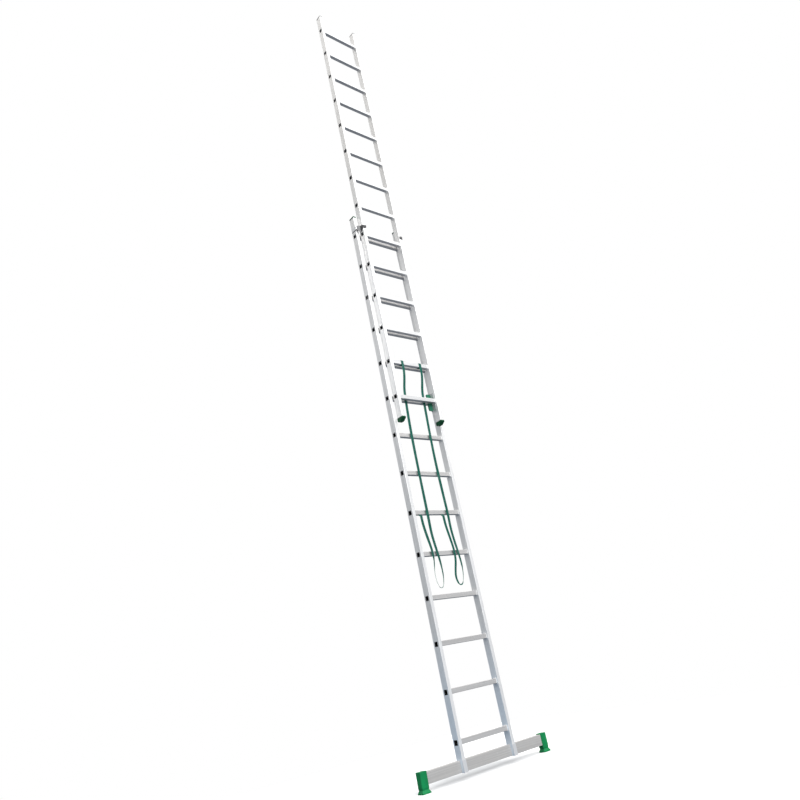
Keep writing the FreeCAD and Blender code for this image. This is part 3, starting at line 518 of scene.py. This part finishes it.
# A soft shade on the floor under and behind the stabiliser bar.
floor_spot = nodes.position()
nearer = nodes.spread(floor_spot["Y"], -0.05, 0.10, 0.0, 1.0)
farther = nodes.spread(floor_spot["Y"], 0.10, 0.45, 1.0, 0.0)
ends = nodes.spread(nodes.maths("ABSOLUTE", floor_spot["X"]), 0.30, 0.56, 1.0, 0.0)
shade = nodes.maths("MULTIPLY", nodes.maths("MULTIPLY", nearer, farther), ends)
floor_tone = nodes.blend_colour(shade, floor_tone, FLOOR_SHADE)
floor_data.materials.append(nodes.finish(
    floor_tone, nodes.spread(speckle, 0.3, 0.7, 0.85, 0.95), nodes.bump(speckle, 0.05, 0.0002)))
# The floor takes the ladder's shadow but throws no light back up at it.
floor.visible_diffuse = False
floor.visible_glossy = False

# --- World: white to the camera, and a glow that lights the ladder -----------------------
# The glow is cool and dim up to the horizon, and reaches its full strength a little above
# it. Each place is from 0, straight down, to 1, straight up.
GLOW = ((0.50, (0.20, 0.235, 0.28, 1)), (0.66, (0.57, 0.575, 0.575, 1)))
world = bpy.data.worlds.new("studio")
scene.world = world
world.use_nodes = True
tree = world.node_tree
tree.nodes.clear()
output = tree.nodes.new("ShaderNodeOutputWorld")
mix = tree.nodes.new("ShaderNodeMixShader")
backdrop = tree.nodes.new("ShaderNodeBackground")
backdrop.inputs["Color"].default_value = (1, 1, 1, 1)
glow = tree.nodes.new("ShaderNodeBackground")
rays = tree.nodes.new("ShaderNodeLightPath")
direction = tree.nodes.new("ShaderNodeTexCoord")
split = tree.nodes.new("ShaderNodeSeparateXYZ")
ramp = tree.nodes.new("ShaderNodeValToRGB")
for stop, (place, colour) in zip(ramp.color_ramp.elements, GLOW):
    stop.position = place
    stop.color = colour
halve = tree.nodes.new("ShaderNodeMapRange")
halve.inputs["From Min"].default_value = -1.0
tree.links.new(direction.outputs["Generated"], split.inputs[0])
tree.links.new(split.outputs["Z"], halve.inputs["Value"])
tree.links.new(halve.outputs[0], ramp.inputs[0])
tree.links.new(ramp.outputs[0], glow.inputs["Color"])
tree.links.new(rays.outputs["Is Camera Ray"], mix.inputs[0])
tree.links.new(glow.outputs[0], mix.inputs[1])
tree.links.new(backdrop.outputs[0], mix.inputs[2])
tree.links.new(mix.outputs[0], output.inputs[0])


# --- Lights --------------------------------------------------------------------------
def add_light(kind, name, energy, toward, spot=(0.0, 0.0, 0.0)):
    """A light at a spot, shining in a direction, and out of the camera's sight."""
    data = bpy.data.lights.new(name, kind)
    data.energy = energy
    item = bpy.data.objects.new(name, data)
    item.location = spot
    item.rotation_euler = Vector(toward).to_track_quat("-Z", "Y").to_euler()
    item.visible_camera = False
    scene.collection.objects.link(item)
    return data


key = add_light("SUN", "key", 1.55, (0.08, 0.90, -0.42))
key.angle = math.radians(40.0)
top = add_light("SUN", "top", 2.2, (0.0, 0.15, -1.0))
top.angle = math.radians(110.0)
upper_front = add_light("AREA", "upper_front", 280.0, (1.0, 6.0, -1.3), (-1.0, -6.0, 6.5))
upper_front.shape = "SQUARE"
upper_front.size = 3.0
low_front = add_light("SPOT", "low_front", 480.0, (1.5, 5.0, 3.7), (-1.5, -5.0, 0.8))
low_front.color = (1.0, 0.98, 0.955)
low_front.spot_size = math.radians(40.0)
low_front.spot_blend = 0.35
low_front.shadow_soft_size = 0.8
